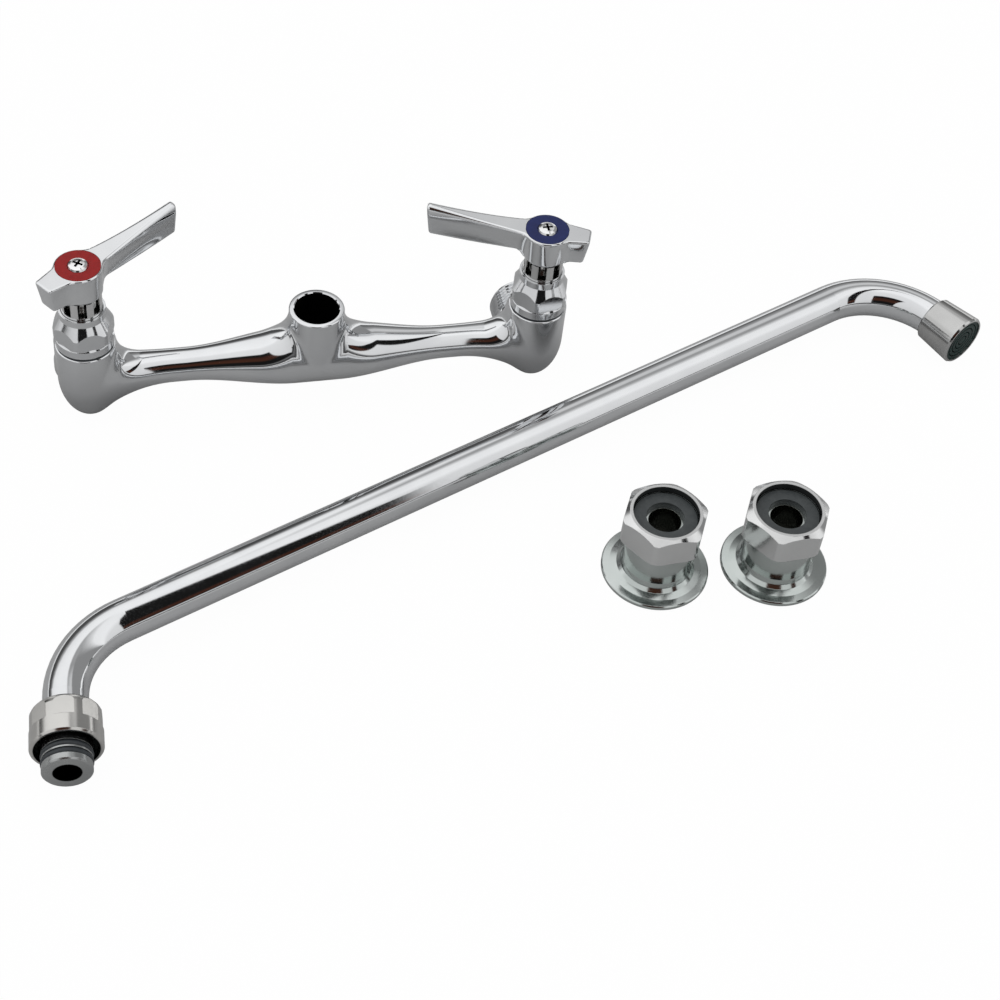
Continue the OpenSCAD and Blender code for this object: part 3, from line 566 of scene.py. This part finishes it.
bm = bmesh.new()
bm.from_mesh(body_mesh)
edge = cut_flat(bm, 0.0, -SOCKET_LIP, CUT_REACH)
carry(bm, edge, 0.0, lip_steps(SOCKET_LIP) + SOCKET_STEPS)
for x in (-HALF_SPAN, HALF_SPAN):
    edge = cut_flat(bm, x, RIM_Z - BARREL_LIP, CUT_REACH)
    carry(bm, edge, x, lip_steps(BARREL_LIP) + BARREL_STEPS)
bmesh.ops.recalc_face_normals(bm, faces=bm.faces)
bm.to_mesh(body_mesh)
bm.free()
polish(body_mesh, body_field)
cast_body = bpy.data.objects.new("cast_body", body_mesh)
scene.collection.objects.link(cast_body)
body_mesh.materials.append(None)
body_mesh.materials.append(None)
# the second finish paints shade, a nearly black tint, inside the spout socket; it also paints the underside
# below dark, because nothing limits it downwards
for face in body_mesh.polygons:
    x, y, z = face.center / MM
    face.material_index = int(math.hypot(x, y) < SOCKET_R + 0.4 and z < -0.2)
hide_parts("valve_body")
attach(cast_body, "faucet_body")
print("body spans", [round(v / MM, 1) for v in cast_body.dimensions])

# %% [markdown]
# The two inlets at the back are turned: a plain collar, a relief groove and a pipe thread. A spin
# around the inlet's axis makes them from half a profile. The thread's ridges are rings, which look
# like the helix and stay closed. Each inlet begins with a taper inside its barrel, far enough from
# the valve's axis for the spindle's foot to turn past it.

# %% Threaded inlets
INLET_Z, COLLAR_R, INLET_BORE_R = -35.8, 14.4, 8.0
INLET_START, BORE_FLOOR, INLET_END = 7.3, 16.0, 32.0
THREAD_R, THREAD_ROOT_R, THREAD_START, PITCH, RIDGES = 13.8, 12.75, 19.6, 1.8, 6


def lathe(name, profile, segments=96):
    """Spin a closed profile of (radius, height) around Z."""
    bm = bmesh.new()
    ring = [bm.verts.new((r * MM, 0.0, h * MM)) for r, h in profile]
    edges = [bm.edges.new(pair) for pair in zip(ring, ring[1:])]
    bmesh.ops.spin(bm, geom=ring + edges, cent=(0, 0, 0), axis=(0, 0, 1), angle=2 * math.pi, steps=segments,
                   use_merge=True)
    bmesh.ops.remove_doubles(bm, verts=bm.verts, dist=1e-6)
    bmesh.ops.recalc_face_normals(bm, faces=bm.faces)
    mesh = bpy.data.meshes.new(name)
    bm.to_mesh(mesh)
    bm.free()
    mesh.shade_smooth()
    mesh.set_sharp_from_angle(angle=CREASE)
    return mesh


taper = [(0.0, INLET_START), (11.8, INLET_START), (13.1, 8.6), (13.6, 11.2)]
collar = [(COLLAR_R, 13.2), (COLLAR_R, 17.5), (13.7, 18.2), (THREAD_ROOT_R, 18.5)]
thread = []
for k in range(RIDGES):
    at = THREAD_START + PITCH * k
    thread += [(THREAD_ROOT_R, at), (THREAD_R, at + 0.75), (THREAD_R, at + 1.05)]
mouth = [(THREAD_ROOT_R, 30.6), (THREAD_ROOT_R, 31.4), (12.2, INLET_END), (INLET_BORE_R + 0.5, INLET_END)]
inlet_bore = [(INLET_BORE_R, 31.5), (INLET_BORE_R, BORE_FLOOR), (0.0, BORE_FLOOR)]
inlet_profile = taper + collar + thread + mouth + inlet_bore
for name, x in (("hot_inlet_thread", -HALF_SPAN), ("cold_inlet_thread", HALF_SPAN)):
    mesh = lathe(name, inlet_profile)
    mesh.transform(Matrix.Translation(Vector((x, 0.0, INLET_Z)) * MM) @ Matrix.Rotation(-math.pi / 2, 4, "X"))
    inlet = bpy.data.objects.new(name, mesh)
    scene.collection.objects.link(inlet)
    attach(inlet, "faucet_body")
    print(name, "faces", len(mesh.polygons))

# %% [markdown]
# A handle is one casting too: a slightly tapered hub, a long lever with hollowed sides that rises to its
# tip, and a short tail fin. Its field is made the same way, with rounded edges, and both handles share
# one net, which is turned to the heading of each lever. The seat for the colour ring, the screw hole
# and the square for the spindle are cut with a Boolean.

# %% Handle field
HUB_Z, HUB_H, INDEX_Z, RECESS_R = 21.4, 14.5, 34.7, 9.75
TOP_Z = HUB_Z + HUB_H
HUB_LOW_R, HUB_HIGH_R = 9.6, 10.5
# lever and fin start at ROOT and reach OVERLAP further into the hub
ROOT, OVERLAP, LEVER, FIN, FIN_H = 6.3, 3.0, 54.0, 19.5, 13.0
# height and rise of the lever, and widths of lever and fin at root and tip, on top and at the foot
LEVER_H, LEVER_RISE = (11.5, 15.0), 4.0
LEVER_TOP_W, LEVER_FOOT_W = (13.0, 5.6), (6.5, 5.4)
FIN_TOP_W, FIN_FOOT_W = (14.0, 9.4), (11.0, 7.5)


def blade(s, y, z, t, top, depth, widths, hollow, lean, shoulder=0.0):
    """A blade that runs out along s, with sloping shoulders, and its foot and end rounded off."""
    u = np.clip((top - z) / depth, 0.0, 1.0)
    half = lerp(widths[0], widths[1], u) / 2 - hollow * np.sin(math.pi * t) * 4 * u * (1 - u)
    half = half - shoulder * t**0.5 * np.clip(1.0 - u / 0.42, 0.0, 1.0) ** 2
    flank = (np.abs(y) - half, columns(0.0, np.where(y < 0, -1.0, 1.0), 0.0 * s))
    foot = (top - depth - z, columns(0.0 * s, 0.0, -1.0))
    end = (s - lean[0] + lean[1] * u, columns(1.0 + 0.0 * s, 0.0, 0.0))
    return trim(trim(flank, foot, 1.2), end, 1.2)


def handle_field(p):
    x, y, z = p.T
    reach = np.maximum(np.hypot(x, y), 1e-6)
    wall = (reach - lerp(HUB_LOW_R, HUB_HIGH_R, (z - HUB_Z) / HUB_H), columns(x / reach, y / reach, 0.0))
    hub = trim(wall, (HUB_Z - z, columns(0.0 * x, 0.0, -1.0)), 1.4)
    out = np.clip((x - ROOT) / (LEVER - ROOT), 0.0, 1.0)
    top = TOP_Z + LEVER_RISE * out**1.7
    widths = lerp(*LEVER_TOP_W, out**0.7), lerp(*LEVER_FOOT_W, out)
    lever = blade(x, y, z, out, top, lerp(*LEVER_H, out**1.2), widths, 0.6, (LEVER, 1.8), shoulder=1.3)
    lever = trim(lever, (ROOT - OVERLAP - x, columns(-1.0 + 0.0 * x, 0.0, 0.0)), 0.5)
    t = np.clip((-x - ROOT) / (FIN - ROOT), 0.0, 1.0)
    widths = lerp(*FIN_TOP_W, t), lerp(*FIN_FOOT_W, t)
    fin = blade(-x, y, z, t, TOP_Z, FIN_H, widths, 0.5, (FIN, 2.0))
    fin = fin[0], fin[1] * np.array((-1.0, 1.0, 1.0))
    fin = trim(fin, (ROOT - OVERLAP + x, columns(1.0 + 0.0 * x, 0.0, 0.0)), 0.5)
    grip = blend(blend(hub, lever, 5.0), fin, 4.0)
    # the top edges are rounder towards the lever's tip
    edge = 1.3 + 0.8 * out
    return trim(grip, (z - top, columns(0.0 * x, 0.0, 1.0)), edge)


print("lever from the axis to", LEVER, "mm")

# %% Handle seed
bm = bmesh.new()
post(bm, 10.0, HUB_Z, TOP_Z)
for low, high, half, foot, head in ((4.0, LEVER, 4.0, -11.0, 2.5), (-FIN, -4.0, 5.0, -12.5, 0.0)):
    made = bmesh.ops.create_cube(bm, size=1.0)["verts"]
    bmesh.ops.scale(bm, verts=made, vec=Vector((high - low, 2 * half, head - foot)) * MM)
    bmesh.ops.translate(bm, verts=made, vec=Vector(((low + high) / 2, 0.0, TOP_Z + (foot + head) / 2)) * MM)
handle_net = even_net("handle_net", bm, spacing=0.45)
put_points(handle_net, settle(handle_field, points_of(handle_net), rounds=14))
print("handle net", len(handle_net.polygons))

# %% Handle cuts
SCREW_HOLE_R, SQUARE_W, SQUARE_H = 2.15, 6.7, 11.1
bm = bmesh.new()
post(bm, RECESS_R, INDEX_Z, TOP_Z + 3.0, segments=128)
post(bm, SCREW_HOLE_R, HUB_Z - 2.0, INDEX_Z + 1.0, segments=32)
made = bmesh.ops.create_cube(bm, size=1.0)["verts"]
bmesh.ops.scale(bm, verts=made, vec=Vector((SQUARE_W, SQUARE_W, SQUARE_H)) * MM)
bmesh.ops.translate(bm, verts=made, vec=Vector((0.0, 0.0, HUB_Z - 1.0 + SQUARE_H / 2)) * MM)
cutter_mesh = bpy.data.meshes.new("cutter")
bm.to_mesh(cutter_mesh)
bm.free()
cutter = bpy.data.objects.new("cutter", cutter_mesh)
blank = bpy.data.objects.new("handle_blank", handle_net)
for obj in (cutter, blank):
    scene.collection.objects.link(obj)
cut = blank.modifiers.new("cuts", "BOOLEAN")
cut.operation = "DIFFERENCE"
cut.solver = "EXACT"
cut.use_self = True
cut.object = cutter
handle_mesh = bpy.data.meshes.new_from_object(blank.evaluated_get(bpy.context.evaluated_depsgraph_get()))
for obj in (cutter, blank):
    bpy.data.objects.remove(obj)
polish(handle_mesh, handle_field)

# %% Place the handles
# headings of the two levers, in degrees from +X
HOT_TURN, COLD_TURN = 36.7, 159.7
for name, body, x, turn in (("hot_cast_handle", "hot_lever", -HALF_SPAN, HOT_TURN),
                            ("cold_cast_handle", "cold_lever", HALF_SPAN, COLD_TURN)):
    mesh = handle_mesh.copy()
    mesh.name = name
    turned = Matrix.Rotation(math.radians(turn), 4, "Z")
    mesh.transform(Matrix.Translation(Vector((x, 0.0, 0.0)) * MM) @ turned)
    handle = bpy.data.objects.new(name, mesh)
    scene.collection.objects.link(handle)
    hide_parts(name.replace("cast_", ""))
    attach(handle, body)
    print(name, "spans", [round(v / MM, 1) for v in handle.dimensions])

# %% [markdown]
# Finishes. Chrome is a mirror, but a real one has a faint haze, a little wear and a slight waviness from
# buffing. Noise in Object coordinates drives its tint, its roughness and a very shallow bump. A Bevel
# node rounds the look of the sharp turned and milled edges, which then catch a thin line of light.

# %% Finish helpers
# features per metre of a metal's soft clouds and of its fine grain
CLOUD_SCALE, FINE_SCALE = 55.0, 900.0


def finish(name, **sockets):
    mat = bpy.data.materials.new(name)
    mat.use_nodes = True
    graph = Graph(mat.node_tree)
    shader = graph.add("ShaderNodeBsdfPrincipled", **sockets)
    graph.add("ShaderNodeOutputMaterial", Surface=(shader, "BSDF"))
    coord = graph.add("ShaderNodeTexCoord")
    return mat, graph, shader, (coord, "Object")


def grain(graph, coord, scale, detail=3.0):
    """Noise at a scale in features per metre."""
    noise = graph.add("ShaderNodeTexNoise", Vector=coord, Scale=scale, Detail=detail)
    return (noise, "Fac")


def relief(graph, shader, height, strength, depth_mm, edge_mm=0.0):
    bump = graph.add("ShaderNodeBump", Height=height, Strength=strength, Distance=depth_mm * MM)
    if edge_mm:
        edge = graph.add("ShaderNodeBevel", Radius=edge_mm * MM)
        edge.samples = 4
        graph.feed(bump.inputs["Normal"], (edge, "Normal"))
    graph.feed(shader.inputs["Normal"], (bump, "Normal"))


def metal(name, light, dark, haze, wave=0.02, edge_mm=0.0):
    """A metal with two tints in soft clouds and a range of roughness."""
    mat, graph, shader, coord = finish(name, Metallic=1.0)
    cloud = grain(graph, coord, CLOUD_SCALE)
    tint = graph.ramp(cloud, [(0.3, dark), (0.7, light)])
    graph.feed(shader.inputs["Base Color"], tint)
    fine = grain(graph, coord, FINE_SCALE, detail=2.0)
    patches = graph.calc("MULTIPLY", cloud, fine)
    roughness = graph.calc("MULTIPLY_ADD", patches, 2.0 * (haze[1] - haze[0]), haze[0])
    graph.feed(shader.inputs["Roughness"], roughness)
    relief(graph, shader, fine, wave, 0.05, edge_mm)
    return mat, graph, shader, coord, tint


def plain(name, light, dark, roughness, scale=400.0, bump=0.1, **sockets):
    """Rubber, plastic, ceramic or paint with a fine mottle."""
    mat, graph, shader, coord = finish(name, **sockets)
    noise = grain(graph, coord, scale)
    graph.feed(shader.inputs["Base Color"], graph.ramp(noise, [(0.3, dark), (0.7, light)]))
    graph.feed(shader.inputs["Roughness"], graph.calc("MULTIPLY_ADD", noise, 0.2, roughness - 0.1))
    relief(graph, shader, noise, bump, 0.08)
    return mat


def from_axis(graph, coord, point, axis):
    """Distance of a point on the piece from a straight axis, in millimetres."""
    shift = graph.add("ShaderNodeVectorMath", operation="SUBTRACT")
    graph.feed(shift.inputs[0], coord)
    shift.inputs[1].default_value = Vector(point) * MM
    across = graph.add("ShaderNodeVectorMath", operation="CROSS_PRODUCT")
    graph.feed(across.inputs[0], (shift, "Vector"))
    across.inputs[1].default_value = Vector(axis).normalized()
    length = graph.add("ShaderNodeVectorMath", operation="LENGTH", Vector=(across, "Vector"))
    return graph.calc("DIVIDE", (length, "Value"), MM)


def paint_shade_inside(made, point, axis, radius, shade_colour, soft=0.15, below=None):
    """Paint shade into a metal: a dark tint inside a radius around an axis, if wanted only below a height."""
    mat, graph, shader, coord, tint = made
    away = from_axis(graph, coord, point, axis)
    share = graph.calc("DIVIDE", graph.calc("SUBTRACT", away, radius - soft), 2 * soft, clamp=True)
    if below is not None:
        height = graph.add("ShaderNodeSeparateXYZ", Vector=coord)
        rise = graph.calc("SUBTRACT", (height, "Z"), (below - soft) * MM)
        above = graph.calc("DIVIDE", rise, 2 * soft * MM, clamp=True)
        share = graph.calc("MAXIMUM", share, above)
    graph.feed(shader.inputs["Base Color"], graph.mix(share, (*shade_colour, 1.0), tint))
    return mat


print("finish helpers ready")

# %% [markdown]
# Nuts, flanges, inlets and cartridges are tinted nearly black inside their bores, and so is the cross in a
# screw's head. This is painted shade of the hollows, laid on bare metal where the plating stops. The tint
# changes with the distance from the bore's axis, so each place needs a material of its own.

# %% Metals
chrome = metal("polished_chrome", (0.7, 0.71, 0.72), (0.65, 0.66, 0.675), (0.03, 0.09))[0]
edged = metal("turned_chrome", (0.69, 0.7, 0.71), (0.64, 0.65, 0.665), (0.05, 0.12), edge_mm=0.3)[0]
steel = metal("bright_steel", (0.66, 0.66, 0.65), (0.57, 0.57, 0.56), (0.12, 0.22), wave=0.005)[0]
# nearly black metal: painted shade inside the spout socket and on the underside below it
bore = metal("socket_painted_shade", (0.02, 0.021, 0.018), (0.012, 0.013, 0.011), (0.35, 0.55))[0]
SHANK_END, SHANK_AXIS = (-125.6, -203.9, -35.88), (-0.05059, -0.99872, 0.00158)
# inside these radii around the shank's axis, the nut and the shank get painted shade, a nearly black tint
NUT_DARK_R, SHANK_DARK_R = 12.85, 5.7
made = metal("satin_nut", (0.6, 0.59, 0.57), (0.52, 0.515, 0.5), (0.12, 0.2), edge_mm=0.3)
nut_metal = paint_shade_inside(made, SHANK_END, SHANK_AXIS, NUT_DARK_R, (0.012, 0.02, 0.018))
made = metal("satin_shank", (0.42, 0.43, 0.43), (0.35, 0.36, 0.36), (0.2, 0.3), edge_mm=0.25)
shank_metal = paint_shade_inside(made, SHANK_END, SHANK_AXIS, SHANK_DARK_R, (0.01, 0.014, 0.01))
print("spout metals ready")

# %% Metals of the two sides
UPRIGHT, BACKWARDS = (0, 0, 1), (0, 1, 0)
NECK_DARK_R, CROSS_DARK_R, CROSS_SOFT = 8.3, 2.8, 0.08
# the cross is painted dark, as shade in its recess, from a little under the top of the screw's head downwards
SCREW_TOP, CROSS_BELOW_TOP = 37.3, 0.4
necks, screws, inlets = {}, {}, {}
for side, x in (("hot", -HALF_SPAN), ("cold", HALF_SPAN)):
    # the inlet's bore is tinted dark brown: its bare metal, darkened further by painted shade of the hollow
    made = metal(side + "_inlet_metal", (0.7, 0.71, 0.72), (0.65, 0.66, 0.675), (0.04, 0.1), edge_mm=0.15)
    inlets[side] = paint_shade_inside(made, (x, 0, INLET_Z), BACKWARDS, INLET_BORE_R + 0.25, (0.07, 0.055, 0.035))
    # painted shade: the cartridge's neck is tinted nearly black inside its radius
    made = metal(side + "_neck", (0.7, 0.7, 0.7), (0.62, 0.62, 0.62), (0.06, 0.15), edge_mm=0.2)
    necks[side] = paint_shade_inside(made, (x, 0, 0), UPRIGHT, NECK_DARK_R, (0.02, 0.02, 0.018))
    made = metal(side + "_screw_metal", (0.8, 0.8, 0.8), (0.72, 0.72, 0.72), (0.08, 0.16), wave=0.004)
    screws[side] = paint_shade_inside(made, (x, 0, 0), UPRIGHT, CROSS_DARK_R, (0.03, 0.03, 0.03), CROSS_SOFT,
                                 below=SCREW_TOP - CROSS_BELOW_TOP)
print("valve metals ready")

# %% Metals of the wall couplings
couplings = {"hot": (129.1, -127.2, 0), "cold": (181.8, -132.6, 0)}
# inside these radii around each coupling's axis, the union nuts and the flanges get painted shade, a dark
# tint
UNION_DARK_R, FLANGE_DARK_R = 14.2, 7.1
union_nuts, flanges = {}, {}
for side, at in couplings.items():
    made = metal(side + "_union_metal", (0.66, 0.665, 0.665), (0.6, 0.605, 0.605), (0.08, 0.16), edge_mm=0.35)
    union_nuts[side] = paint_shade_inside(made, at, UPRIGHT, UNION_DARK_R, (0.025, 0.03, 0.03))
    made = metal(side + "_flange_metal", (0.52, 0.55, 0.54), (0.43, 0.47, 0.455), (0.08, 0.18), edge_mm=0.25)
    flanges[side] = paint_shade_inside(made, at, UPRIGHT, FLANGE_DARK_R, (0.05, 0.05, 0.03))
print("coupling metals ready")

# %% [markdown]
# The soft, ceramic and painted pieces get a fine mottle. Every node then takes the finish of its
# material slot in the record, apart from the few that look different and are named one by one.

# %% Rubber, ceramic, plastic and paint
rubber = plain("black_rubber", (0.03, 0.036, 0.042), (0.018, 0.022, 0.026), 0.5)
slate = plain("slate_washer", (0.06, 0.068, 0.07), (0.04, 0.047, 0.05), 0.5)
ceramic = plain("white_ceramic", (0.8, 0.8, 0.78), (0.74, 0.74, 0.72), 0.2)
red = plain("red_ring", (0.34, 0.012, 0.012), (0.27, 0.008, 0.008), 0.4, bump=0.03, Specular_IOR_Level=0.25)
blue = plain("blue_ring", (0.012, 0.022, 0.12), (0.008, 0.015, 0.09), 0.4, bump=0.03, Specular_IOR_Level=0.3)
ivory = plain("ivory_plastic", (0.7, 0.65, 0.55), (0.6, 0.56, 0.47), 0.4)
insert = plain("dark_insert", (0.004, 0.028, 0.024), (0.002, 0.016, 0.014), 0.35, Specular_IOR_Level=0.15)
print("other finishes ready")

# %% Finishes onto the pieces
by_slot = {"polished_chrome": edged, "black_rubber": rubber, "bright_steel": steel,
           "white_ceramic": ceramic, "red_ring": red, "blue_ring": blue,
           "ivory_plastic": ivory, "dark_insert": insert}
outlet = metal("outlet_metal", (0.5, 0.5, 0.495), (0.42, 0.42, 0.415), (0.07, 0.15), edge_mm=0.2)[0]
special = {"spout_tube": chrome, "spout_nut": nut_metal, "spout_shank": shank_metal,
           "aerator_housing": outlet}
for side in ("hot", "cold"):
    special |= {side + "_cartridge": necks[side], side + "_spindle": steel,
                side + "_handle_screw": screws[side], side + "_union_nut": union_nuts[side],
                side + "_wall_flange": flanges[side], side + "_union_washer": slate}
for part in frame["record"]["subparts"]:
    obj = nodes[part["node"]]
    mat = special.get(part["node"]) or by_slot[part["material_slot"]]
    if not obj.material_slots:
        obj.data.materials.append(mat)
    for s in obj.material_slots:
        s.material = mat
body_mesh.materials[0] = chrome
body_mesh.materials[1] = bore
for side in ("hot", "cold"):
    bpy.data.objects[side + "_inlet_thread"].data.materials.append(inlets[side])
    bpy.data.objects[side + "_cast_handle"].data.materials.append(chrome)
print("finishes", len(bpy.data.materials))
